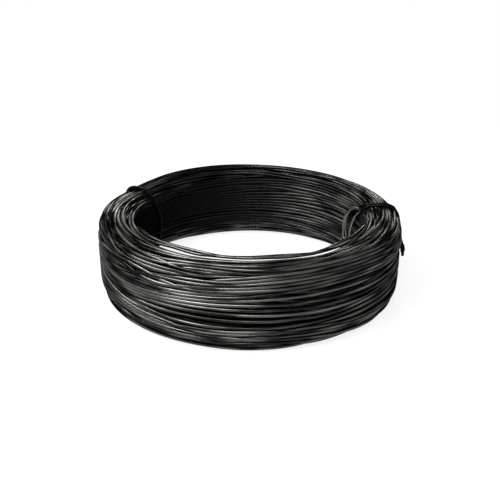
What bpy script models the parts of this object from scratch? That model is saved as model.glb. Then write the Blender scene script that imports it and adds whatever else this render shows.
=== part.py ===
"""A coil of black annealed binding wire, held by two ties of the same wire.

The coil is one turned solid with its bore. Its section is a rounded bundle, and the
surface shows the outermost turns of wire as ridges of their real size. Each tie is a
length of wire wrapped round the bundle, with its two ends twisted and laid flat on the
outer wall. The bundle is drawn in by a waist at each tie, so the coil still rests on
its own turns. Metres, +Z up, the origin on the floor at the centre of the bore.
"""

import math

import bmesh
import bpy
from mathutils import Vector

# The wire and the coil wound from it
WIRE_DIAMETER = 0.0016
COIL_RADIUS = 0.083
BUNDLE_WIDTH = 0.0204
BUNDLE_HEIGHT = 0.0434

# Roundness of the bundle's four corners: 2 is an ellipse, and more is squarer
CORNER_OUTER_TOP = 3.3
CORNER_OUTER_BOTTOM = 4.6
CORNER_INNER_TOP = 3.0
CORNER_INNER_BOTTOM = 2.6

# The turned solid is made of this many steps, and the flat bottom ridges are this many
TURN_STEPS = 36
FLAT_RIDGES = 3

# The ties, and how far each one draws the bundle in
TIE_DIAMETER = 0.0016
TIE_CLEARANCE = 0.0003
TIE_SQUEEZE = 0.0015
TIE_SQUEEZE_UNDERNEATH = 0.0026
SQUEEZE_STEPS = 2
RIGHT_TIE_DEGREES = 3.0
LEFT_TIE_STEPS_ROUND = 15

# Each tie's knot: its height on the outer wall and the two ends laid along the wall
KNOT_HEIGHT = 0.0245
KNOT_LEAN = 0.0085
KNOT_LEAN_REACH = 0.0240
KNOT_BEND = 0.0030
TAIL_LENGTH = 0.0155
TAIL_TWISTS = 1.0
TWIST_LENGTH = 0.0085

# The right tie goes round twice, the left one once, and each pass drifts on the inner wall
RIGHT_TIE_SPREADS = (0.0160, 0.0300)
LEFT_TIE_SPREADS = (-0.0060,)
SPREAD_STAND_OFF = 0.0006
TIE_STEP = 0.0036

BLACK_OXIDE = (0.035, 0.034, 0.033, 1.0)
TIE_GREY = (0.050, 0.050, 0.048, 1.0)

WIRE_RADIUS = WIRE_DIAMETER / 2
TIE_RADIUS = TIE_DIAMETER / 2
TIE_PITCH = TIE_DIAMETER + TIE_CLEARANCE / 2
HALF_WIDTH = BUNDLE_WIDTH / 2
HALF_HEIGHT = BUNDLE_HEIGHT / 2
BUNDLE_RADIUS = COIL_RADIUS - HALF_WIDTH
STEP_ANGLE = math.tau / TURN_STEPS
RIGHT_TIE_ANGLE = math.radians(RIGHT_TIE_DEGREES)
LEFT_TIE_ANGLE = RIGHT_TIE_ANGLE + LEFT_TIE_STEPS_ROUND * STEP_ANGLE
TIE_ANGLES = (RIGHT_TIE_ANGLE, LEFT_TIE_ANGLE)
OUTLINE_SAMPLES = 2400


def corner_roundness(x, z):
    """The exponent of the corner that a point of the section lies in."""
    if z >= 0:
        return CORNER_OUTER_TOP if x >= 0 else CORNER_INNER_TOP
    return CORNER_OUTER_BOTTOM if x >= 0 else CORNER_INNER_BOTTOM


def section_point(angle):
    """A point of the bundle's outline, from the middle of its section."""
    across, up = math.cos(angle), math.sin(angle)
    power = 2 / corner_roundness(across, up)
    return Vector(
        (
            math.copysign(HALF_WIDTH * abs(across) ** power, across),
            math.copysign(HALF_HEIGHT * abs(up) ** power, up),
        )
    )


def section_normal(point):
    """The way out of the bundle at a point of its section."""
    power = corner_roundness(point.x, point.y) - 1
    return Vector(
        (
            math.copysign(abs(point.x / HALF_WIDTH) ** power / HALF_WIDTH, point.x),
            math.copysign(abs(point.y / HALF_HEIGHT) ** power / HALF_HEIGHT, point.y),
        )
    ).normalized()


def measured_outline(inset):
    """The outline moved in by inset, from the bottom outwards and up, with its lengths."""
    points = []
    for i in range(OUTLINE_SAMPLES + 1):
        edge = section_point(-math.pi / 2 + math.tau * i / OUTLINE_SAMPLES)
        points.append(edge - section_normal(edge) * inset)
    lengths = [0.0]
    for before, after in zip(points, points[1:]):
        lengths.append(lengths[-1] + (after - before).length)
    return points, lengths


def outline_at(points, lengths, along):
    """The outline's point at a distance along it, going round as often as needed."""
    along %= lengths[-1]
    low, high = 0, len(lengths) - 1
    while high - low > 1:
        middle = (low + high) // 2
        if lengths[middle] <= along:
            low = middle
        else:
            high = middle
    share = (along - lengths[low]) / max(lengths[high] - lengths[low], 1e-12)
    return points[low].lerp(points[high], share)


EDGE_POINTS, EDGE_LENGTHS = measured_outline(0.0)
EDGE_LENGTH = EDGE_LENGTHS[-1]


def squeeze_at(angle, normal):
    """How far the ties draw the bundle in, at an angle round the coil."""
    depth = TIE_SQUEEZE + (TIE_SQUEEZE_UNDERNEATH - TIE_SQUEEZE) * max(0.0, -normal.y) ** 2
    share = 0.0
    for tie in TIE_ANGLES:
        away = abs(math.remainder(angle - tie, math.tau))
        share = max(share, 1 - away / (SQUEEZE_STEPS * STEP_ANGLE))
    return depth * share


def coil_profile():
    """The ridged section: a crest for each turn, and a groove as deep as its radius."""
    centres, lengths = measured_outline(WIRE_RADIUS)
    turns = round(lengths[-1] / WIRE_DIAMETER)
    pitch = lengths[-1] / turns
    profile = []
    for k in range(turns):
        centre = outline_at(centres, lengths, k * pitch)
        out = section_normal(centre)
        crest = centre + out * WIRE_RADIUS
        along = Vector((-out.y, out.x)) * WIRE_RADIUS * math.tan(math.pi / 8)
        is_flat = min(k, turns - k) <= FLAT_RIDGES // 2
        if is_flat:
            crest.y = -HALF_HEIGHT
            along.y = 0.0
        profile += [crest - along, crest + along] if is_flat else [crest]
        profile.append(outline_at(centres, lengths, (k + 0.5) * pitch))
    return [(BUNDLE_RADIUS + p.x, HALF_HEIGHT + p.y) for p in profile]


def new_material(name, colour, roughness, metallic):
    material = bpy.data.materials.new(name)
    material.use_nodes = True
    shader = material.node_tree.nodes["Principled BSDF"]
    shader.inputs["Base Color"].default_value = colour
    shader.inputs["Roughness"].default_value = roughness
    shader.inputs["Metallic"].default_value = metallic
    return material


def turned(name, profile, collection):
    """A closed profile in the XZ plane, turned about Z with a Screw modifier."""
    mesh = bpy.data.meshes.new(name)
    count = len(profile)
    points = [
        (r * math.cos(RIGHT_TIE_ANGLE), r * math.sin(RIGHT_TIE_ANGLE), z)
        for r, z in reversed(profile)
    ]
    mesh.from_pydata(points, [(i, (i + 1) % count) for i in range(count)], [])
    obj = bpy.data.objects.new(name, mesh)
    collection.objects.link(obj)
    screw = obj.modifiers.new("turn", "SCREW")
    screw.axis = "Z"
    screw.angle = math.tau
    screw.steps = screw.render_steps = TURN_STEPS
    screw.use_merge_vertices = True
    screw.merge_threshold = 0.00001
    screw.use_smooth_shade = False
    return obj


def made_mesh(obj):
    """The object with its modifiers applied."""
    graph = bpy.context.evaluated_depsgraph_get()
    mesh = bpy.data.meshes.new_from_object(obj.evaluated_get(graph))
    obj.modifiers.clear()
    obj.data = mesh
    return obj


def draw_in_at_ties(obj):
    """Moves each vertex towards the middle of the bundle, where a tie holds it."""
    for vertex in obj.data.vertices:
        co = vertex.co
        radius, angle = math.hypot(co.x, co.y), math.atan2(co.y, co.x)
        point = Vector((radius - BUNDLE_RADIUS, co.z - HALF_HEIGHT))
        out = section_normal(point)
        point -= out * squeeze_at(angle, out)
        radius = BUNDLE_RADIUS + point.x
        co.x, co.y, co.z = radius * math.cos(angle), radius * math.sin(angle), HALF_HEIGHT + point.y


def on_bundle(tie_angle, along, sideways, stand_off):
    """A point over the bundle's surface: along the section's outline, sideways round the
    coil from the tie, and out from the surface, which has flat steps round the coil."""
    angle = tie_angle + sideways / COIL_RADIUS
    edge = outline_at(EDGE_POINTS, EDGE_LENGTHS, along)
    out = section_normal(edge)
    edge += out * (stand_off - squeeze_at(angle, out))
    into_step = (angle - RIGHT_TIE_ANGLE) % STEP_ANGLE - STEP_ANGLE / 2
    radius = (BUNDLE_RADIUS + edge.x) * math.cos(STEP_ANGLE / 2) / math.cos(into_step)
    return Vector(
        (radius * math.cos(angle), radius * math.sin(angle), HALF_HEIGHT + edge.y)
    )


def smooth(value):
    """0 below 0, 1 above 1, and a smooth step between them."""
    value = min(1.0, max(0.0, value))
    return value * value * (3 - 2 * value)


def knot_along():
    """Where the knot lies on the outline: on the outer wall, at its height."""
    for point, length in zip(EDGE_POINTS, EDGE_LENGTHS):
        if point.x > 0 and point.y >= KNOT_HEIGHT - HALF_HEIGHT:
            return length
    return EDGE_LENGTH / 4


def spread_share(along):
    """How much of its spread a pass has: all of it on the inner wall, none elsewhere."""
    place = along % EDGE_LENGTH
    height = outline_at(EDGE_POINTS, EDGE_LENGTHS, along).y / HALF_HEIGHT
    if place < EDGE_LENGTH / 2:
        return 0.0
    return smooth((0.97 - height) / 0.60) * smooth((height + 0.97) / 0.50)


def tail(side, towards, knot, length):
    """One of a knot's two ends, from its root to its tip: it twists round the other end,
    and then they lie side by side."""
    apart = TIE_PITCH / 2
    points = []
    steps = 14
    for i in range(steps + 1):
        run = KNOT_BEND + (length - KNOT_BEND) * i / steps
        turn = math.tau * TAIL_TWISTS * min(1.0, (run - KNOT_BEND) / TWIST_LENGTH)
        angle = side * math.pi / 2 + turn
        out = TIE_CLEARANCE + TIE_RADIUS + apart * (abs(math.cos(angle)) + math.cos(angle))
        points.append((knot + apart * math.sin(angle), towards * run, out))
    return points


def bend(start, corner, end, steps=4):
    """The points of a smooth corner, without its two ends."""
    points = []
    for i in range(1, steps):
        t = i / steps
        points.append(
            tuple(
                (1 - t) ** 2 * a + 2 * t * (1 - t) * b + t * t * c
                for a, b, c in zip(start, corner, end)
            )
        )
    return points


def tie_route(spreads, towards):
    """The tie's centre line, as (along, sideways, stand-off) over the bundle's surface."""
    knot = knot_along()
    rest = TIE_CLEARANCE + TIE_RADIUS
    wraps = len(spreads)
    pitch = TIE_PITCH if wraps > 1 else 0.0
    start = knot + TIE_PITCH / 2 + KNOT_BEND
    finish = knot - TIE_PITCH / 2 - KNOT_BEND + wraps * EDGE_LENGTH
    centred = pitch * (wraps - 1) / 2
    steps = round((finish - start) / TIE_STEP)
    passes = []
    for i in range(steps + 1):
        along = start + (finish - start) * i / steps
        wrap = min(wraps - 1, int(along / EDGE_LENGTH))
        lane = pitch * (along - knot) / EDGE_LENGTH
        from_knot = min(along - knot, knot + wraps * EDGE_LENGTH - along)
        lean = towards * KNOT_LEAN * (1 - smooth(from_knot / KNOT_LEAN_REACH))
        back = smooth((along - finish + 8 * wraps * TIE_DIAMETER) / (8 * wraps * TIE_DIAMETER))
        share = spread_share(along)
        sideways = lane * (1 - back) + lean + share * spreads[wrap]
        crossing = 0.0 if wraps == 1 else back * TIE_PITCH
        passes.append((along, sideways - centred, rest + crossing + share * SPREAD_STAND_OFF))
    first, last = tail(1, towards, knot, TAIL_LENGTH), tail(-1, towards, knot, TAIL_LENGTH)
    shift = towards * KNOT_LEAN - centred
    shifted = [[(a, y + shift, h) for a, y, h in points] for points in (first, last)]
    first = shifted[0]
    last = [(a + wraps * EDGE_LENGTH, y, h) for a, y, h in shifted[1]]
    into = bend(first[0], (first[0][0], passes[0][1], rest), passes[0])
    away = bend(passes[-1], (last[0][0], passes[-1][1], rest), last[0])
    return first[::-1] + into + passes + away + last


def wire_along(name, points, radius, collection):
    """A tube of round wire along the points, with flat cut ends."""
    curve = bpy.data.curves.new(name, "CURVE")
    curve.dimensions = "3D"
    curve.bevel_depth = radius
    curve.bevel_resolution = 2
    curve.use_fill_caps = True
    spline = curve.splines.new("POLY")
    spline.points.add(len(points) - 1)
    for target, point in zip(spline.points, points):
        target.co = (*point, 1.0)
    obj = bpy.data.objects.new(name, curve)
    collection.objects.link(obj)
    return obj


def add_coil(collection):
    coil = turned("wire_coil", coil_profile(), collection)
    made_mesh(coil)
    draw_in_at_ties(coil)
    coil.data.materials.append(new_material("annealed_wire", BLACK_OXIDE, 0.42, 0.85))
    return coil


def add_tie(name, tie_angle, spreads, towards, material, collection):
    route = tie_route(spreads, towards)
    points = [on_bundle(tie_angle, *place) for place in route]
    tie = wire_along(name, points, TIE_RADIUS, collection)
    tie.data.materials.append(material)
    return tie


def main():
    for obj in list(bpy.data.objects):
        bpy.data.objects.remove(obj, do_unlink=True)
    collection = bpy.data.collections.new("binding_wire_coil")
    bpy.context.scene.collection.children.link(collection)
    add_coil(collection)
    tie_material = new_material("tie_wire", TIE_GREY, 0.40, 0.85)
    add_tie("tie_wire_right", RIGHT_TIE_ANGLE, RIGHT_TIE_SPREADS, -1, tie_material, collection)
    add_tie("tie_wire_left", LEFT_TIE_ANGLE, LEFT_TIE_SPREADS, 1, tie_material, collection)


main()
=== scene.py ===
"""The looks of a coil of black annealed binding wire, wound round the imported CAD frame.

Every turn is a real length of wire. The turns start in rows across the bundle, wander as
hand-guided wire does, and are then pushed apart until no two share the same place.
"""

import math

import bpy
import numpy as np
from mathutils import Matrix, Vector


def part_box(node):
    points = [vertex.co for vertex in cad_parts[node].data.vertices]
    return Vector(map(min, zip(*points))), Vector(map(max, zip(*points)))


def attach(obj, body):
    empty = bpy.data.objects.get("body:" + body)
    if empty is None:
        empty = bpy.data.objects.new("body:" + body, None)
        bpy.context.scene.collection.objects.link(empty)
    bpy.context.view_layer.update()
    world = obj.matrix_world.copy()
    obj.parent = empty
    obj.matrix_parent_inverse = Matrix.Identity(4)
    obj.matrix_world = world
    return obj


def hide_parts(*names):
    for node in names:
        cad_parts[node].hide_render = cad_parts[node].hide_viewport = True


bl_info = {
    "name": "Binding wire coil",
    "version": (1, 0, 0),
    "blender": (4, 5, 0),
    "location": "3D View > Sidebar > Wire coil",
    "description": "Winds a coil of black annealed wire, ties it and lights it",
    "category": "Object",
}

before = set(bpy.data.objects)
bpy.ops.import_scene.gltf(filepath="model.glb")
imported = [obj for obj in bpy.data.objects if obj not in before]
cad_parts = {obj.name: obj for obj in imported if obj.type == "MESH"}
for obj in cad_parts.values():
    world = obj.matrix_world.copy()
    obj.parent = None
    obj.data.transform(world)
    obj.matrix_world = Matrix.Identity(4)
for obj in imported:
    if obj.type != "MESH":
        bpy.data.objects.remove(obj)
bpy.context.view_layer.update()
COIL_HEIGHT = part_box("wire_coil")[1].z
COIL_RADIUS = 0.083
BUNDLE_WIDTH = 0.0204
MM = 0.001

# Where the two ties hold the bundle, in degrees round the coil from the right
RIGHT_TIE = 3.0
LEFT_TIE = 153.0

# Two loose turns stand off into the bore at the front: (degrees round, radius, height) in mm
LOOSE_TURNS = (
    ((196, 63.2, 41.6), (206, 62.8, 41.3), (216, 62.5, 41.1), (225, 61.6, 41.0), (232, 60.7, 41.0),
     (239, 60.3, 41.0), (246, 60.5, 41.0), (253, 61.6, 40.9), (259, 62.5, 40.9), (270, 62.2, 41.0),
     (278, 61.6, 41.0), (285, 61.9, 41.0), (292, 63.6, 41.0), (297, 65.0, 41.0), (303, 64.6, 41.0),
     (310, 63.3, 41.0), (318, 62.8, 41.0), (326, 63.3, 41.0), (336, 63.8, 41.2), (346, 63.6, 41.4)),
    ((196, 64.4, 39.9), (206, 64.1, 40.0), (216, 63.9, 40.1), (225, 63.1, 40.4), (232, 62.3, 40.9),
     (239, 61.7, 40.3), (246, 61.4, 39.8), (253, 63.2, 41.2), (259, 64.1, 41.6), (270, 63.8, 41.3),
     (278, 63.1, 41.0), (285, 63.4, 40.6), (292, 65.2, 41.2), (297, 66.5, 41.6), (303, 66.1, 41.4),
     (310, 64.8, 40.5), (318, 64.3, 40.1), (326, 64.7, 39.8), (336, 64.9, 39.7), (346, 64.6, 39.8)),
)

# The sight line under the loose turns, which no other turn crosses: it rises outward by that many
# degrees, and a turn's middle is on it at that height, at these (degrees round, radius in mm)
GAP_SLOPE = 25
GAP_HEIGHT = 40.1 * MM
GAP_UNDER_LOOSE = ((220, 61.5), (226, 63.4), (231, 65.2), (238, 66.2), (244, 66.2), (250, 65.7),
                   (258, 65.5), (263, 65.3), (270, 65.9), (281, 65.6), (285, 63.0), (291, 63.6),
                   (295, 67.8), (303, 68.8), (312, 69.2), (318, 68.8))

# The coil's own cut end, from the cut to where it joins the turns: (degrees, radius, height)
WIRE_END = ((3.6, 61.0, 40.6), (8, 60.2, 39.6), (12, 60.0, 38.0), (16, 60.4, 35.4),
            (19.4, 60.9, 32.2), (21.8, 61.1, 28.6), (22.8, 61.3, 24), (22.0, 61.4, 19),
            (20.8, 61.5, 14.5), (21.4, 61.7, 10.6), (24.6, 62.3, 8.0), (29.4, 63.4, 7.3),
            (34.4, 64.3, 7.4))
END_JOINS = 39.0

# How much a turn keeps its depth in the bundle, from 0, not at all, to 1
DEPTH_KEPT = 0.6

# How strongly a turn wanders in one wave round the coil, in two, three and four. Each wave takes
# a few turns to change, and a turn wanders half as far across as it does up and down
WAVES = (1.0, 0.8, 0.55, 0.36)
TURNS_TO_DRIFT = 4.0
WANDER_ACROSS = 0.5

# The rounds of pushing the turns apart. In the earlier ones they are also drawn some of the way to
# their paths and outward, and in nearly all of them the outermost are drawn out to the outline.
# Neighbours, within so many diameters, are found again every few rounds
ROUNDS, DRAWN_ROUNDS, FILLED_ROUNDS = 160, 140, 150
TO_PATH = 0.02
OUTWARD = 0.03 * MM
NEIGHBOURS_EVERY = 8
NEIGHBOURS_WITHIN = 1.9
STIFFNESS = 0.8

# How many flat sides the wire's round section is drawn with, and how far apart the points are on
# the coil's cut end and on a tie
WIRE_SIDES = 8
END_SPACING = 1.5 * MM
TIE_SPACING = 0.8 * MM

# Each pass of a tie round the bundle: (degrees round the section, degrees round the coil, slack in
# mm). The section's degrees go from the outer wall over the top and down the bore.
RIGHT_PASSES = (
    ((14, -2.5, 0.0), (28, -1.0, 0.0), (45, 0.6, 0.0), (62, 1.0, 0.0), (90, 1.4, 0.0),
     (110, 2.2, 0.0), (117, 3.4, 0.0), (125, 8.0, 0.2), (134, 12.5, 0.2), (150, 15.6, 0.2),
     (180, 18.0, 0.2), (215, 18.6, 0.2), (243, 12.0, 0.0), (262, 4.0, 0.0), (300, 3.0, 0.0),
     (345, 1.5, 0.0), (360, -0.5, 0.0)),
    ((374, 0.5, 0.0), (400, 3.2, 0.2), (450, 3.2, 0.0), (470, 5.0, 0.0), (477, 8.4, 0.0),
     (485, 15.0, 0.0), (494, 20.4, 0.0), (510, 24.6, 0.0), (540, 25.6, 0.0), (575, 25.6, 0.0),
     (603, 16.0, 0.0), (622, 6.0, 0.0), (660, 4.6, 0.0), (700, 1.0, 0.0), (734, -2.5, 0.8)),
)
LEFT_PASSES = (
    ((14, 159.0, 0.0), (28, 156.0, 0.1), (45, 153.8, 0.2), (62, 154.0, 0.1), (80, 153.8, 0.0),
     (100, 153.4, 0.0), (117, 153.2, 0.0), (126, 152.0, 0.0), (140, 150.2, 0.0),
     (160, 148.8, 0.0), (200, 148.6, 0.0), (235, 149.4, 0.0), (262, 152.2, 0.0),
     (300, 153.0, 0.0), (345, 155.0, 0.0), (374, 159.0, 0.4)),
)

# A tie's twist: where it starts beside the tie, its pitch and turns, and how long the two ends are
KNOT_START = 2.5 * MM
KNOT_PITCH = 6 * MM
KNOT_TURNS = 1.5
KNOT_ENDS = (12.5 * MM, 11 * MM)
KNOT_POINTS = 22

# Roughness of the annealed skin where it is whole and where it has rubbed, and what handling adds
SMOOTH, RUBBED, HANDLED = 0.24, 0.34, 0.16

# Patches of rubbed skin: in radius for a whole turn, and for each metre across the turns
PATCHES_ROUND = 3.65
PATCHES_ACROSS = 450.0

# The photograph's camera: it looks at the middle of the coil from the front
CAMERA_DISTANCE = 0.4260
CAMERA_ELEVATION = 23.32
CAMERA_LENS = 54.64
CAMERA_SHIFT = (0.0007, -0.0141)

# How far the lamps hang from the coil, and each back lamp's share of their power: the right one
# lights the broad glints on the right end of the top, and the left one is a hint of light
FRONT_LAMPS_AWAY = 0.75
BACK_LAMPS_AWAY = 1.00
RIGHT_BACK_SHARE, LEFT_BACK_SHARE = 2.0, 0.35

# The floor's reach from the middle, and how white it shows in every light: that share beside the
# coil, growing to all of it between the two distances
FLOOR_REACH = 3
FLOOR_WHITE = 0.85
FLOOR_WHITER = (0.14, 0.50)

# The white room: how strongly it lights, and the heights between which the gloss sees it darken
ROOM_LIGHT = 0.25
ROOM_CEILING = (0.20, 0.45)

# The last winding's places, which the ties are pulled tight over
WOUND = {}


def linear(hex_colour):
    """An sRGB hex colour as linear red, green, blue and alpha."""
    parts = [int(hex_colour[i : i + 2], 16) / 255 for i in (1, 3, 5)]
    return (*[p / 12.92 if p <= 0.04045 else ((p + 0.055) / 1.055) ** 2.4 for p in parts], 1.0)


class WireSettings(bpy.types.PropertyGroup):
    """The wire, its winding and its finish."""

    diameter: bpy.props.FloatProperty(
        name="Wire diameter",
        description="Thickness of the wire",
        default=1.6 * MM,
        unit="LENGTH",
    )
    turns: bpy.props.IntProperty(
        name="Turns",
        description="How many times the wire goes round",
        default=232,
        min=60,
    )
    steps: bpy.props.IntProperty(
        name="Steps per turn",
        description="Points on a turn while it is wound, half of those it is drawn with",
        default=80,
        min=36,
    )
    wander: bpy.props.FloatProperty(
        name="Wander",
        description="How far a turn strays up and down from its row",
        default=3.0 * MM,
        unit="LENGTH",
    )
    seed: bpy.props.IntProperty(
        name="Seed",
        description="Which of the many ways to wind it",
        default=3,
    )
    # Painted shade: the skin colour darkens the bore's wall, the top of the coil behind and the
    # ties
    skin: bpy.props.FloatVectorProperty(
        name="Skin colour",
        description="Black skin that annealing leaves, whole in the bore and on the ties",
        subtype="COLOR",
        size=4,
        default=linear("#1a1a1a"),
    )
    oxide: bpy.props.FloatVectorProperty(
        name="Oxide colour",
        description="Thinner dark skin on the turns that are handled",
        subtype="COLOR",
        size=4,
        default=linear("#222221"),
    )
    worn: bpy.props.FloatVectorProperty(
        name="Worn colour",
        description="Greyer steel where turns have rubbed on each other",
        subtype="COLOR",
        size=4,
        default=linear("#6c6b68"),
    )
    edge: bpy.props.FloatVectorProperty(
        name="Edge tint",
        description="How much of the white room a turn shows where it curves out of sight",
        subtype="COLOR",
        size=4,
        default=linear("#aaaaaa"),
    )


class BundleSettings(bpy.types.PropertyGroup):
    """The section of the bundle, and how the ties draw it in."""

    radius: bpy.props.FloatProperty(
        name="Coil radius",
        description="From the bore's axis to the outermost turn",
        default=COIL_RADIUS,
        unit="LENGTH",
    )
    width: bpy.props.FloatProperty(
        name="Bundle width",
        description="From the bore to the outer wall",
        default=BUNDLE_WIDTH,
        unit="LENGTH",
    )
    height: bpy.props.FloatProperty(
        name="Bundle height",
        description="From the floor to the top turns",
        default=COIL_HEIGHT,
        unit="LENGTH",
    )
    squeeze: bpy.props.FloatProperty(
        name="Squeeze",
        description="How far a tie draws the bundle in",
        default=0.8 * MM,
        unit="LENGTH",
    )
    tie_diameter: bpy.props.FloatProperty(
        name="Tie diameter",
        description="Thickness of the wire that the ties are made of",
        default=1.6 * MM,
        unit="LENGTH",
    )
    knot_height: bpy.props.FloatProperty(
        name="Knot height",
        description="How high on the outer wall a tie is twisted",
        default=23.5 * MM,
        unit="LENGTH",
    )


class StageSettings(bpy.types.PropertyGroup):
    """The floor and the lamps."""

    floor_colour: bpy.props.FloatVectorProperty(
        name="Floor colour",
        description="Pale sheet that the coil lies on",
        subtype="COLOR",
        size=4,
        default=linear("#fbfbfb"),
    )
    key_power: bpy.props.FloatProperty(
        name="Key power",
        description="Long soft box on the left",
        default=9.2,
        unit="POWER",
    )
    front_power: bpy.props.FloatProperty(
        name="Front power",
        description="Soft box above the camera, on the left",
        default=3.4,
        unit="POWER",
    )
    spot_power: bpy.props.FloatProperty(
        name="Spot power",
        description="Narrow soft box above the camera, which shows as a glint on each turn",
        default=1.2,
        unit="POWER",
    )
    back_power: bpy.props.FloatProperty(
        name="Back power",
        description="Low soft boxes behind: the right has twice this and the left a third",
        default=3.0,
        unit="POWER",
    )


def add_node(tree, kind, settings=None, links=None):
    """One shader node, with its settings and what feeds its inputs."""
    node = tree.nodes.new(kind)
    for name, value in (settings or {}).items():
        if isinstance(name, int) or name in node.inputs:
            node.inputs[name].default_value = value
        else:
            setattr(node, name, value)
    for name, source in (links or {}).items():
        tree.links.new(source, node.inputs[name])
    return node


def ramp(tree, value, low, high, to_low=0.0, to_high=1.0):
    """Goes from one level to the other while the value goes from low to high."""
    limits = {"From Min": low, "From Max": high, "To Min": to_low, "To Max": to_high}
    return add_node(tree, "ShaderNodeMapRange", limits, {"Value": value}).outputs[0]


def maths(tree, operation, first, second):
    """One operation on a value and another value or plain number. A difference is kept from 0
    to 1."""
    settings, links = {"operation": operation, "use_clamp": operation == "SUBTRACT"}, {0: first}
    (settings if isinstance(second, float) else links)[1] = second
    return add_node(tree, "ShaderNodeMath", settings, links).outputs[0]


def new_material(name):
    """A new material, its node tree and its shader."""
    material = bpy.data.materials.new(name)
    material.use_nodes = True
    return material, material.node_tree, material.node_tree.nodes["Principled BSDF"]


def wire_places(tree):
    """Where a point of the wire is: its way from the bore's axis, how far from it, and how high."""
    place = add_node(tree, "ShaderNodeNewGeometry")
    split = add_node(tree, "ShaderNodeSeparateXYZ", links={0: place.outputs["Position"]})
    flat = add_node(tree, "ShaderNodeCombineXYZ",
                    links={"X": split.outputs["X"], "Y": split.outputs["Y"]})
    radius = add_node(tree, "ShaderNodeVectorMath", {"operation": "LENGTH"}, {0: flat.outputs[0]})
    return flat.outputs[0], radius.outputs["Value"], split.outputs["Z"]


def rubbed_share(tree, flat, radius, height):
    """Noise in patches 20 mm long on the wire and one or two turns across. The patches lie on a
    circle for each turn, and the fourth dimension lets it close without a seam."""
    way = add_node(tree, "ShaderNodeVectorMath", {"operation": "NORMALIZE"}, {0: flat})
    circle = add_node(tree, "ShaderNodeVectorMath", {"operation": "SCALE", "Scale": PATCHES_ROUND},
                      {0: way.outputs[0]})
    inward = add_node(tree, "ShaderNodeCombineXYZ",
                      links={"Z": maths(tree, "MULTIPLY", radius, PATCHES_ACROSS)})
    place = add_node(tree, "ShaderNodeVectorMath", {"operation": "ADD"},
                     {0: circle.outputs[0], 1: inward.outputs[0]})
    level = maths(tree, "MULTIPLY", height, PATCHES_ACROSS)
    noise = add_node(tree, "ShaderNodeTexNoise",
                     {"noise_dimensions": "4D", "Scale": 1.0, "Detail": 1.0},
                     {"Vector": place.outputs[0], "W": level})
    return noise.outputs["Fac"]


def painted_highlight_end(tree, flat, radius):
    """1 on what stands 1 mm off the bore's wall on the right, where the coil is taken up. There the
    worn colour is a painted highlight.
    """
    split = add_node(tree, "ShaderNodeSeparateXYZ", links={0: flat})
    proud = ramp(tree, radius, 0.0624, 0.0616)
    return maths(tree, "MULTIPLY", proud, ramp(tree, split.outputs["X"], 0.030, 0.040))


def finish_steel(tree, shader, edge, colour, rubbed, glossy):
    """What every annealed wire has: a metal's gloss, duller where it has rubbed, and much duller
    where glossy is 0."""
    gloss = ramp(tree, rubbed, 0.35, 0.65, SMOOTH, RUBBED)
    rough = maths(tree, "ADD", gloss, ramp(tree, glossy, 0.0, 1.0, HANDLED, 0.0))
    shader.inputs["Metallic"].default_value = 1.0
    shader.inputs["Specular Tint"].default_value = edge
    tree.links.new(colour, shader.inputs["Base Color"])
    tree.links.new(rough, shader.inputs["Roughness"])


def black_annealed_turns(wire):
    """Annealed steel wire. The furnace leaves a thin near-black skin that stays smooth, so each
    turn shows a narrow bright streak of light on black, and the streak dulls and breaks up
    along the wire where the skin has rubbed. The darker skin colour is painted shade on the
    bore's wall and on the top behind, the bore's right is painted lighter, and the wire's end
    there carries a painted highlight."""
    material, tree, shader = new_material("black_annealed_steel_wire")
    flat, radius, height = wire_places(tree)
    rubbed = rubbed_share(tree, flat, radius, height)
    colour = add_node(tree, "ShaderNodeMix", {"data_type": "RGBA", 6: wire.oxide, 7: wire.worn},
                      {0: ramp(tree, rubbed, 0.40, 0.70)})
    # Painted shade: the dark skin colour is put on the bore's wall, fading out by 3 mm into the
    # bundle and at the rim
    rim = ramp(tree, height, 0.037, 0.041)
    outside = maths(tree, "MAXIMUM", ramp(tree, radius, 0.0635, 0.0660), rim)
    # Painted light: the bore's right is painted lighter, towards the oxide and worn colours.
    # Painted shade: the dark skin colour is put back on the top behind
    split = add_node(tree, "ShaderNodeSeparateXYZ", links={0: flat})
    right = ramp(tree, split.outputs["X"], 0.012, 0.040, 0.0, 0.7)
    back = ramp(tree, split.outputs["Y"], 0.035, 0.060, 0.0, 0.8)
    kept = maths(tree, "MULTIPLY", ramp(tree, height, 0.034, 0.040), back)
    unshaded_share = maths(tree, "SUBTRACT", maths(tree, "MAXIMUM", outside, right), kept)
    skin = add_node(tree, "ShaderNodeMix", {"data_type": "RGBA", 6: wire.skin},
                    {0: unshaded_share, 7: colour.outputs[2]})
    # Painted highlight: the wire's end standing off the bore's wall on the right is painted in the
    # worn colour
    handled = add_node(tree, "ShaderNodeMix", {"data_type": "RGBA", 7: wire.worn},
                       {0: painted_highlight_end(tree, flat, radius), 6: skin.outputs[2]})
    # The gloss is whole on the left and in front, and handling has dulled it on the right
    glossy = maths(tree, "SUBTRACT", outside, right)
    finish_steel(tree, shader, wire.edge, handled.outputs[2], rubbed, glossy)
    return material


def black_annealed_tie(wire):
    """The same wire as the coil's, painted in the dark skin colour as painted shade, so that a tie
    shows as a dark line across the turns, and painted greyer as a painted highlight where it
    stands off the bore's wall."""
    material, tree, shader = new_material("black_annealed_tie_wire")
    flat, radius, height = wire_places(tree)
    rubbed = rubbed_share(tree, flat, radius, height)
    unshaded_share = painted_highlight_end(tree, flat, radius)
    # Painted shade in the skin colour, and a painted highlight in the worn colour off the bore's
    # wall
    colour = add_node(tree, "ShaderNodeMix", {"data_type": "RGBA", 6: wire.skin, 7: wire.worn},
                      {0: unshaded_share})
    finish_steel(tree, shader, wire.worn, colour.outputs[2], rubbed, unshaded_share)
    return material


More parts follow.
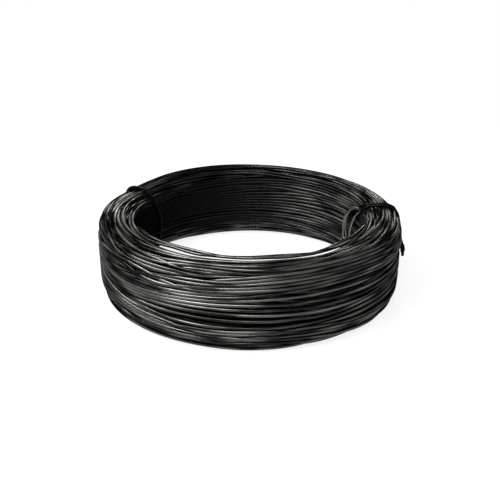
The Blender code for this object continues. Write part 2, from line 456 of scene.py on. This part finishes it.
def smooth_step(value):
    """0 below 0, 1 above 1, and a smooth step between them."""
    value = np.clip(value, 0.0, 1.0)
    return value * value * (3 - 2 * value)


def arc_share(degrees, start, end, fade):
    """1 on an arc round the coil and 0 off it, fading over that many degrees inside each end."""
    along = (degrees - start) % 360
    return smooth_step(np.minimum(along, (end - start) - along) / fade)


def near(degrees, middle, reach):
    """1 at an angle round the coil, falling smoothly to 0 at that reach on each side."""
    away = np.abs((degrees - middle + 180) % 360 - 180)
    return smooth_step(1 - away / reach)


class Section:
    """The bundle's outline at each step round the coil. A corner's power says how square it is,
    and 2 is round. Where it changes is in degrees round the coil: middle and reach, or start,
    end and fade."""

    # How far along the coil a tie draws the bundle in, and each side's share of the squeeze
    TIE_REACH = 24
    OUTER_DRAWN, INNER_DRAWN, BOTTOM_DRAWN = 0.6, 0.3, 2.1

    # Turns came loose at the front, the top rises behind, and the upper wall bulges on the right
    SLACK = (222, 326, 12)
    BACK_RISE, BACK_RISE_AT = 1.2 * MM, (108, 55)
    BULGE, BULGE_AT, BULGE_FADES = 1.2 * MM, (352, 22), 6 * MM

    # Each corner's power, and what is added to it on an arc
    OUTER_TOP, ON_THE_LEFT, LEFT_AT = 3.3, 1.5, (180, 30)
    OUTER_BOTTOM, IN_FRONT, FRONT_AT = 5.0, 1.8, (250, 352, 20)
    INNER_TOP, AT_THE_ENDS, LEFT_END_AT, RIGHT_END_AT = 2.8, 4.0, (196, 50), (350, 44)
    WHERE_SLACK = 1.6
    INNER_BOTTOM = 2.6

    # How far up the sight line under the loose turns is lifted, out of the way, round the rest
    CLEAR_OF_TURNS = 20 * MM

    def __init__(self, bundle, degrees, inset):
        left, right = (near(degrees, tie, self.TIE_REACH) for tie in (LEFT_TIE, RIGHT_TIE))
        squeeze = bundle.squeeze * np.maximum(left, right)
        self.slack = arc_share(degrees, *self.SLACK)
        wide, tall = bundle.width / 2 - inset, bundle.height / 2 - inset
        self.outer = wide - self.OUTER_DRAWN * squeeze
        self.inner = wide - self.INNER_DRAWN * squeeze
        self.top = tall - squeeze + self.BACK_RISE * near(degrees, *self.BACK_RISE_AT)
        self.bottom = tall - self.BOTTOM_DRAWN * squeeze
        self.bulge = self.BULGE * near(degrees, *self.BULGE_AT)
        self.outer_top = self.OUTER_TOP + self.ON_THE_LEFT * near(degrees, *self.LEFT_AT)
        self.outer_bottom = self.OUTER_BOTTOM + self.IN_FRONT * arc_share(degrees, *self.FRONT_AT)
        ends = np.maximum(near(degrees, *self.LEFT_END_AT), near(degrees, *self.RIGHT_END_AT))
        self.inner_top = (self.INNER_TOP + self.AT_THE_ENDS * ends * (1 - self.slack)
                          + self.WHERE_SLACK * self.slack)
        self.inner_bottom = np.full_like(degrees, self.INNER_BOTTOM)
        at, radius = np.array(GAP_UNDER_LOOSE).T
        rim = np.interp(degrees, at, radius) * MM - (bundle.radius - bundle.width / 2)
        self.bevel_rise = math.tan(math.radians(GAP_SLOPE))
        self.bevel = (GAP_HEIGHT - bundle.height / 2 - rim * self.bevel_rise
                      + self.CLEAR_OF_TURNS * (1 - self.slack))

    def quarter(self, places):
        """The corner's power and the half sizes of the quarter that each place is in."""
        across, up = places[..., 0], places[..., 1]
        power = np.where(
            up >= 0,
            np.where(across >= 0, self.outer_top, self.inner_top),
            np.where(across >= 0, self.outer_bottom, self.inner_bottom),
        )
        outer = self.outer + self.bulge * smooth_step(up / self.BULGE_FADES)
        wide = np.where(across >= 0, outer, self.inner)
        return power, wide, np.where(up >= 0, self.top, self.bottom)

    def reach(self, places):
        """How far out each place is: 1 on the outline. Places are [turn, step, across or up]."""
        power, wide, tall = self.quarter(places)
        across, up = np.abs(places[..., 0] / wide), np.abs(places[..., 1] / tall)
        return (across**power + up**power) ** (1 / power)

    def outward(self, places):
        """The way square to the outline from each place, growing from 0 at the bundle's middle."""
        power, wide, tall = self.quarter(places)
        across, up = places[..., 0] / wide, places[..., 1] / tall
        return np.stack([np.sign(across) * np.abs(across) ** (power - 1),
                         np.sign(up) * np.abs(up) ** (power - 1) * wide / tall], axis=-1)

    def hull(self, ways):
        """How far the outline reaches towards each way, at each step: [step, way]."""
        turn = np.radians(np.arange(0, 360, 2.0))
        rays = np.stack([np.cos(turn), np.sin(turn)], axis=-1)[:, None]
        rays = rays * np.full((1, len(self.outer), 1), MM)
        return (self.kept_in(rays / self.reach(rays)[..., None]) @ ways.T).max(axis=0)

    def kept_in(self, places):
        """The places, moved in to the outline, and under the bevel where turns came loose."""
        places = places / np.maximum(1.0, self.reach(places))[..., None]
        above = places[..., 1] - self.bevel - self.bevel_rise * places[..., 0]
        places[..., 1] -= np.maximum(0.0, above)
        return places

    def gathered(self, places, depth):
        """The places, with each turn kept near its own depth in the bundle as it wanders. What
        strays past the near edge is eased into the room between it and the outline."""
        near_edge, room = 0.85, 0.15
        reach = self.reach(places)
        far = np.maximum(0.0, reach - near_edge)
        strayed = np.where(reach > near_edge, near_edge + room * np.tanh(far / room), reach)
        wanted = strayed + (depth - strayed) * DEPTH_KEPT
        return places * (wanted / np.maximum(reach, 1e-9))[..., None]


def starting_cells(count, half_width, half_height):
    """Rows of cells that fill the bundle, in winding order: up and down, from the bore out.
    Each is how far across, how far up, and how deep: 0 in the middle and 1 on the outline. The
    pitch that gives that many is found by halving."""
    low, high = 0.5 * MM, 5 * MM
    row_spacing, power, halvings = 0.866, 4.5, 40
    for _ in range(halvings):
        pitch = (low + high) / 2
        columns = int(half_width / (pitch * row_spacing)) + 1
        rows = int(half_height / pitch) + 1
        cells = [
            (c * pitch * row_spacing, (r + 0.5 * (c % 2)) * pitch)
            for c in range(-columns, columns + 1)
            for r in (range(-rows, rows + 1) if (c + columns) % 2 else range(rows, -rows - 1, -1))
        ]
        depths = [
            (abs(c[0] / half_width) ** power + abs(c[1] / half_height) ** power) ** (1 / power)
            for c in cells
        ]
        cells = [(*c, depth) for c, depth in zip(cells, depths) if depth <= 1]
        if len(cells) > count:
            low = pitch
        else:
            high = pitch
    while len(cells) < count:
        cells.append(cells[-1])
    return np.array(cells[:count])


def drifting(rng, turn, spacing, columns):
    """Random values that drift smoothly from turn to turn, a new one every few turns, and spread
    by about 1 once they are blended."""
    knots = rng.standard_normal((int(turn[-1] / spacing) + 5, columns))
    place = turn / spacing
    first = np.floor(place).astype(int)
    f = (place - first)[:, None]
    weights = ((1 - f) ** 3, 3 * f**3 - 6 * f**2 + 4, -3 * f**3 + 3 * f**2 + 3 * f + 1, f**3)
    blend_spread = 0.7
    return sum(w * knots[first + i] for i, w in enumerate(weights)) / 6 / blend_spread


def wound_turns(wire, bundle):
    """Every turn's places in the section: [turn, step, (across, up)]."""
    rng = np.random.default_rng(wire.seed)
    turns, steps = wire.turns, wire.steps
    degrees = 360.0 * np.arange(steps) / steps
    section = Section(bundle, degrees, wire.diameter / 2)
    cells = starting_cells(turns, bundle.width / 2 - wire.diameter / 2,
                           bundle.height / 2 - wire.diameter / 2)
    corner = np.hypot(cells[:, 0] + bundle.width / 2, cells[:, 1] - bundle.height / 2)
    loose = np.argsort(corner)[: len(LOOSE_TURNS)]
    cells = np.concatenate([cells, cells[-1:]])
    index = np.arange(turns * steps)
    turn = index / steps
    share = smooth_step((index % steps) / steps)[:, None]
    path = cells[index // steps] * (1 - share) + cells[index // steps + 1] * share
    # The first turns lie neat on the drum that the coil is wound on, and later ones stray more
    stray = wire.wander * (0.5 + 0.5 * smooth_step(0.5 + path[:, :1] / bundle.width))
    for wave, strength in enumerate(WAVES, 1):
        angle = math.tau * wave * turn
        drift = drifting(rng, turn, TURNS_TO_DRIFT, 4) * stray * strength
        across = drift[:, 0] * np.cos(angle) + drift[:, 1] * np.sin(angle)
        path[:, 0] += WANDER_ACROSS * across
        path[:, 1] += drift[:, 2] * np.cos(angle) + drift[:, 3] * np.sin(angle)
    depth = path[:, 2].reshape(turns, steps)
    path = section.kept_in(section.gathered(path[:, :2].reshape(turns, steps, 2), depth))
    held, hold = loose_places(bundle, degrees)
    path[loose] = held
    places = path.copy()
    tied = np.setdiff1d(np.arange(turns), loose)
    # The ways in which the turns are filled out, from under the bundle to over the bore's rim.
    # Those over the rim hold only where turns came loose
    ways = np.radians(np.arange(-90, 121, 15))
    ways = np.column_stack([np.cos(ways), np.sin(ways)])
    hull = section.hull(ways)
    hull[:, ways[:, 0] < -0.1] *= section.slack[:, None]
    for round_number in range(ROUNDS):
        if round_number % NEIGHBOURS_EVERY == 0:
            first, second = close_pairs(places, NEIGHBOURS_WITHIN * wire.diameter)
        for _ in range(2):
            push_apart(places, first, second, wire.diameter)
            places = section.kept_in(places)
            places[loose] += (held - places[loose]) * hold
        if round_number < DRAWN_ROUNDS:
            places += (path - places) * TO_PATH
            places += OUTWARD * section.outward(places)
        if round_number < FILLED_ROUNDS:
            filled_out(places, tied, hull, ways)
        places = eased(places, STIFFNESS)
    places[loose] += (held - places[loose]) * hold
    return doubled(places)


def doubled(places):
    """The same turns with a point more between each two, on a smooth curve through them."""
    wire = places.reshape(-1, 2)
    after = [2 * wire[-1] - wire[-2], 3 * wire[-1] - 2 * wire[-2]]
    line = np.vstack([2 * wire[0] - wire[1], wire, *after])
    between = (9 * (line[1:-2] + line[2:-1]) - line[:-3] - line[3:]) / 16
    return np.stack([wire, between], axis=1).reshape(len(places), -1, 2)


def loose_places(bundle, degrees):
    """Where the loose turns are held off the bundle, and how firmly at each step."""
    middle = bundle.radius - bundle.width / 2
    fade = 16
    held = np.zeros((len(LOOSE_TURNS), len(degrees), 2))
    hold = np.zeros((len(LOOSE_TURNS), len(degrees), 1))
    for row, stations in enumerate(LOOSE_TURNS):
        at, radius, height = (np.array(values, float) for values in zip(*stations))
        held[row, :, 0] = np.interp(degrees, at, radius, period=360) * MM - middle
        held[row, :, 1] = np.interp(degrees, at, height, period=360) * MM - bundle.height / 2
        hold[row, :, 0] = arc_share(degrees, at[0], at[-1], fade)
    return held, hold


def close_pairs(places, limit):
    """The pairs of turns that are nearly touching at the same step."""
    across, up = places[..., 0].T.astype(np.float32), places[..., 1].T.astype(np.float32)
    apart = (across[:, :, None] - across[:, None, :]) ** 2 + (up[:, :, None] - up[:, None, :]) ** 2
    step, first, second = np.nonzero(apart < limit**2)
    keep = first < second
    steps = places.shape[1]
    return first[keep] * steps + step[keep], second[keep] * steps + step[keep]


def push_apart(places, first, second, diameter):
    """Moves each pair that overlaps apart, each of the two by nearly half of what they lack."""
    nearly_half = 0.45
    flat = places.reshape(-1, 2)
    between = flat[first] - flat[second]
    apart = np.linalg.norm(between, axis=1) + 1e-12
    move = between * (nearly_half * np.maximum(0.0, diameter - apart) / apart)[:, None]
    for axis in (0, 1):
        flat[:, axis] += np.bincount(first, move[:, axis], len(flat))
        flat[:, axis] -= np.bincount(second, move[:, axis], len(flat))


def filled_out(places, tied, hull, ways):
    """Draws the outer turns on each side out to the outline, so that it has no hollows. The
    outermost moves most, and one 3 mm behind it a third as far. The loose turns stay."""
    fades, step = 3 * MM, 0.08
    out = places[tied] @ ways.T
    outermost = out.max(axis=0)
    share = np.exp((out - outermost) / fades) * np.maximum(0.0, hull - outermost)
    places[tied] += step * share @ ways


def eased(places, amount):
    """The wire's stiffness: each point goes some way to the middle of its neighbours."""
    wire = places.reshape(-1, 2)
    soft = wire.copy()
    soft[2:-2] = (-wire[:-4] + 4 * wire[1:-3] + 10 * wire[2:-2] + 4 * wire[3:-1] - wire[4:]) / 16
    soft[1:-1] = 0.5 * soft[1:-1] + 0.25 * (soft[:-2] + soft[2:])
    return (wire + (soft - wire) * amount).reshape(places.shape)


def wire_piece(name, points, diameter, material, node):
    """A length of round wire through the points, with its two ends cut square."""
    curve = bpy.data.curves.new(name, "CURVE")
    curve.dimensions = "3D"
    curve.bevel_depth = diameter / 2
    curve.bevel_resolution = WIRE_SIDES // 2 - 2
    curve.use_fill_caps = True
    spline = curve.splines.new("POLY")
    spline.points.add(len(points) - 1)
    flat = np.ones((len(points), 4), np.float32)
    flat[:, :3] = points
    spline.points.foreach_set("co", flat.ravel())
    spline.use_smooth = True
    curve.materials.append(material)
    piece = bpy.data.objects.new(name, curve)
    bpy.context.scene.collection.objects.link(piece)
    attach(piece, "root")
    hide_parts(node)


def in_space(bundle, degrees, across, up):
    """Points in space for places in the section at angles round the coil."""
    radius = bundle.radius - bundle.width / 2 + across
    angle = np.radians(degrees)
    return np.column_stack([radius * np.cos(angle), radius * np.sin(angle), bundle.height / 2 + up])


def through(stations, spacing):
    """A smooth path through stations, with points at about that spacing along it."""
    stations = np.array(stations, float)
    ends = np.vstack([2 * stations[0] - stations[1], stations, 2 * stations[-1] - stations[-2]])
    points = [stations[:1]]
    for p0, p1, p2, p3 in zip(ends, ends[1:], ends[2:], ends[3:]):
        count = max(2, int(np.linalg.norm(p2 - p1) / spacing))
        t = (np.arange(1, count + 1) / count)[:, None]
        points.append(0.5 * (2 * p1 + (p2 - p0) * t + (2 * p0 - 5 * p1 + 4 * p2 - p3) * t**2
                             + (3 * p1 - p0 - 3 * p2 + p3) * t**3))
    return np.concatenate(points)


class COIL_OT_wind_turns(bpy.types.Operator):
    """Winds every turn of the coil"""

    bl_idname = "wire_coil.wind_turns"
    bl_label = "Wind the turns"

    def execute(self, context):
        wire, bundle = context.scene.coil_wire, context.scene.coil_bundle
        places = WOUND["places"] = wound_turns(wire, bundle)
        steps = places.shape[1]
        flat = places.reshape(-1, 2)
        degrees = np.arange(len(flat)) % steps * 360 / steps
        points = in_space(bundle, degrees, flat[:, 0], flat[:, 1])
        join = math.ceil(END_JOINS * steps / 360)
        at, radius, height = np.array(WIRE_END).T
        end = in_space(bundle, at, radius * MM - bundle.radius + bundle.width / 2,
                       height * MM - bundle.height / 2)
        end = through(np.vstack([end, points[join : join + 2]]), END_SPACING)[:-2]
        points = np.vstack([end, points[join:]])
        steel = black_annealed_turns(wire)
        names = ("bore_turns", "inner_turns", "middle_turns", "outer_turns")
        for part, name in enumerate(names):
            start = part * len(points) // len(names)
            finish = (part + 1) * len(points) // len(names)
            length = points[start : finish + 1]
            wire_piece(name, length, wire.diameter, steel, "wire_coil")
        return {"FINISHED"}


def over_turns(wire, bundle, round_section, round_coil, slack):
    """Where a taut tie lies: on the hull of the turns at each angle round the coil."""
    places = WOUND["places"]
    steps = places.shape[1]
    flat = places.reshape(-1, 2)
    rest = (wire.diameter + bundle.tie_diameter) / 2
    ways = np.radians(np.arange(0, 360, 2.0))
    normals = np.column_stack([np.cos(ways), np.sin(ways)])
    points = []
    for turn, degrees, loose in zip(np.radians(round_section), round_coil, slack):
        step = degrees % 360 * steps / 360
        share = step - int(step)
        here = flat[int(step) : -1 : steps] * (1 - share)
        here = here + flat[int(step) + 1 :: steps][: len(places)] * share
        out = (here @ normals.T).max(axis=0) + rest + loose
        facing = np.cos(ways - turn)
        reach = np.nanmin(out / np.where(facing > 0.2, facing, np.nan))
        points.append((reach * math.cos(turn), reach * math.sin(turn)))
    return np.array(points)


def tie_path(wire, bundle, passes):
    """A tie's centre line over the turns, without its twisted ends."""
    stations = np.array([station for each in passes for station in each], float)
    round_section = np.arange(stations[0, 0], stations[-1, 0] + 0.1, 2.0)
    round_coil = np.interp(round_section, stations[:, 0], stations[:, 1])
    slack = np.interp(round_section, stations[:, 0], stations[:, 2]) * MM
    for _ in range(3):
        round_coil[1:-1] = (round_coil[:-2] + 2 * round_coil[1:-1] + round_coil[2:]) / 4
    places = over_turns(wire, bundle, round_section, round_coil, slack)
    places[1:-1] = (places[:-2] + 2 * places[1:-1] + places[2:]) / 4
    return in_space(bundle, round_coil, places[:, 0], places[:, 1])


def knot_end(bundle, root, side, towards, length):
    """One of a tie's two ends: it twists one and a half times round the other, and any length
    left lies beside it."""
    apart = bundle.tie_diameter / 2
    outward = Vector((root[0], root[1], 0)).normalized()
    sideways = Vector((-outward.y, outward.x, 0)) * towards
    points = []
    for i in range(KNOT_POINTS):
        run = KNOT_START + length * i / (KNOT_POINTS - 1)
        twist = side * math.pi / 2 + math.tau * min(KNOT_TURNS, (run - KNOT_START) / KNOT_PITCH)
        lift = apart * (0.1 + 0.7 * math.cos(twist))
        points.append(
            Vector((root[0], root[1], bundle.knot_height + apart * math.sin(twist)))
            + sideways * run + outward * (lift - run * run / (2 * bundle.radius))
        )
    return np.array(points)


class COIL_OT_pull_ties(bpy.types.Operator):
    """Pulls the two ties tight over the turns and twists their ends"""

    bl_idname = "wire_coil.pull_ties"
    bl_label = "Pull the ties tight"

    def execute(self, context):
        wire, bundle = context.scene.coil_wire, context.scene.coil_bundle
        if "places" not in WOUND:
            raise RuntimeError("the turns are wound before the ties are pulled")
        steel = black_annealed_tie(wire)
        ties = (("tie_wire_right", RIGHT_PASSES, -1), ("tie_wire_left", LEFT_PASSES, 1))
        for node, passes, towards in ties:
            path = tie_path(wire, bundle, passes)
            first = knot_end(bundle, path[0], 1, towards, KNOT_ENDS[0])
            last = knot_end(bundle, path[0], -1, towards, KNOT_ENDS[1])
            route = through(np.vstack([first[::-1], path[2:-2], last]), TIE_SPACING)
            wire_piece(node + "_wire", route, bundle.tie_diameter, steel, node)
        return {"FINISHED"}


class COIL_OT_set_stage(bpy.types.Operator):
    """Lays the floor, hangs the lamps and sets the camera"""

    bl_idname = "wire_coil.set_stage"
    bl_label = "Set the stage"

    def execute(self, context):
        stage = context.scene.coil_stage
        add_floor(stage)
        add_world()
        soft_box("key_soft_box", 192, 52, FRONT_LAMPS_AWAY, (0.75, 0.15), stage.key_power)
        soft_box("front_soft_box", 236, 62, FRONT_LAMPS_AWAY, (0.40, 0.15), stage.front_power)
        soft_box("spot_soft_box", 269, 52, FRONT_LAMPS_AWAY, (0.04, 0.12), stage.spot_power)
        soft_box("right_back_soft_box", 76, 22, BACK_LAMPS_AWAY, (0.20, 0.14),
                 RIGHT_BACK_SHARE * stage.back_power)
        soft_box("left_back_soft_box", 104, 22, BACK_LAMPS_AWAY, (0.20, 0.14),
                 LEFT_BACK_SHARE * stage.back_power)
        add_camera()
        context.scene.view_settings.view_transform = "Standard"
        return {"FINISHED"}


def add_floor(stage):
    """A white sheet: it keeps the coil's soft shadow, and shows white where none falls and, away
    from the coil, in every light."""
    mesh = bpy.data.meshes.new("floor")
    low, high = -FLOOR_REACH, FLOOR_REACH
    mesh.from_pydata([(low, low, 0), (high, low, 0), (high, high, 0), (low, high, 0)], [],
                     [(0, 1, 2, 3)])
    floor = bpy.data.objects.new("floor", mesh)
    bpy.context.scene.collection.objects.link(floor)
    material, tree, shader = new_material("white_paper_floor")
    shader.inputs["Base Color"].default_value = stage.floor_colour
    shader.inputs["Roughness"].default_value = 0.9
    shader.inputs["Specular IOR Level"].default_value = 0.0
    white = add_node(tree, "ShaderNodeEmission", {"Strength": 1.0})
    away = ramp(tree, wire_places(tree)[1], *FLOOR_WHITER, FLOOR_WHITE)
    mix = add_node(tree, "ShaderNodeMixShader",
                   links={0: maths(tree, "MULTIPLY", seen_rays(tree), away),
                          1: shader.outputs[0], 2: white.outputs[0]})
    tree.links.new(mix.outputs[0], tree.nodes["Material Output"].inputs["Surface"])
    mesh.materials.append(material)


def seen_rays(tree):
    """1 on the rays that show the background: from the camera, and in gloss and glass."""
    path = add_node(tree, "ShaderNodeLightPath")
    first = maths(tree, "MAXIMUM", path.outputs["Is Camera Ray"], path.outputs["Is Glossy Ray"])
    return maths(tree, "MAXIMUM", first, path.outputs["Is Transmission Ray"])


def add_world():
    """A white room. Its ceiling isn't lit, so that the turns stay black where they mirror it."""
    world = bpy.data.worlds.new("white_room")
    bpy.context.scene.world = world
    world.use_nodes = True
    tree = world.node_tree
    background = tree.nodes["Background"]
    background.inputs["Color"].default_value = (1.0, 1.0, 1.0, 1.0)
    way = add_node(tree, "ShaderNodeTexCoord")
    split = add_node(tree, "ShaderNodeSeparateXYZ", links={0: way.outputs["Generated"]})
    path = add_node(tree, "ShaderNodeLightPath")
    ceiling = ramp(tree, split.outputs["Z"], *ROOM_CEILING)
    shaded = maths(tree, "MULTIPLY", ceiling, path.outputs["Is Glossy Ray"])
    shown = maths(tree, "SUBTRACT", seen_rays(tree), shaded)
    tree.links.new(ramp(tree, shown, 0.0, 1.0, ROOM_LIGHT, 1.0), background.inputs["Strength"])


def soft_box(name, azimuth, elevation, distance, size, power):
    """A soft box aimed at the coil's middle, at degrees round it and up from it."""
    lamp = bpy.data.lights.new(name, "AREA")
    lamp.shape = "RECTANGLE"
    lamp.size, lamp.size_y = size
    lamp.energy = power
    box = bpy.data.objects.new(name, lamp)
    bpy.context.scene.collection.objects.link(box)
    turn, rise = math.radians(azimuth), math.radians(elevation)
    target = Vector((0, 0, COIL_HEIGHT / 2))
    flat = math.cos(rise)
    away = Vector((flat * math.cos(turn), flat * math.sin(turn), math.sin(rise)))
    box.location = target + away * distance
    box.rotation_euler = (-away).to_track_quat("-Z", "Y").to_euler()


def add_camera():
    """The photograph's view, from the front and a little above."""
    camera = bpy.data.cameras.new("camera")
    camera.lens = CAMERA_LENS
    camera.shift_x, camera.shift_y = CAMERA_SHIFT
    eye = bpy.data.objects.new("camera", camera)
    bpy.context.scene.collection.objects.link(eye)
    rise = math.radians(CAMERA_ELEVATION)
    target = Vector((0, 0, COIL_HEIGHT / 2))
    away = Vector((0, -math.cos(rise), math.sin(rise)))
    eye.location = target + away * CAMERA_DISTANCE
    eye.rotation_euler = (-away).to_track_quat("-Z", "Y").to_euler()
    bpy.context.scene.camera = eye


class COIL_PT_panel(bpy.types.Panel):
    """Lists the steps of making the coil"""

    bl_label = "Wire coil"
    bl_idname = "COIL_PT_panel"
    bl_space_type = "VIEW_3D"
    bl_region_type = "UI"
    bl_category = "Wire coil"

    def draw(self, context):
        for group in (context.scene.coil_wire, context.scene.coil_bundle, context.scene.coil_stage):
            for name in group.__annotations__:
                self.layout.prop(group, name)
        for step in STEPS:
            self.layout.operator(step.bl_idname)


STEPS = (COIL_OT_wind_turns, COIL_OT_pull_ties, COIL_OT_set_stage)
SETTINGS = (
    ("coil_wire", WireSettings),
    ("coil_bundle", BundleSettings),
    ("coil_stage", StageSettings),
)


def register():
    for name, group in SETTINGS:
        bpy.utils.register_class(group)
        setattr(bpy.types.Scene, name, bpy.props.PointerProperty(type=group))
    for cls in (*STEPS, COIL_PT_panel):
        bpy.utils.register_class(cls)


def unregister():
    for cls in (*STEPS, COIL_PT_panel):
        bpy.utils.unregister_class(cls)
    for name, group in SETTINGS:
        delattr(bpy.types.Scene, name)
        bpy.utils.unregister_class(group)


def main():
    register()
    bpy.ops.wire_coil.wind_turns()
    bpy.ops.wire_coil.pull_ties()
    bpy.ops.wire_coil.set_stage()


if __name__ == "__main__":
    main()
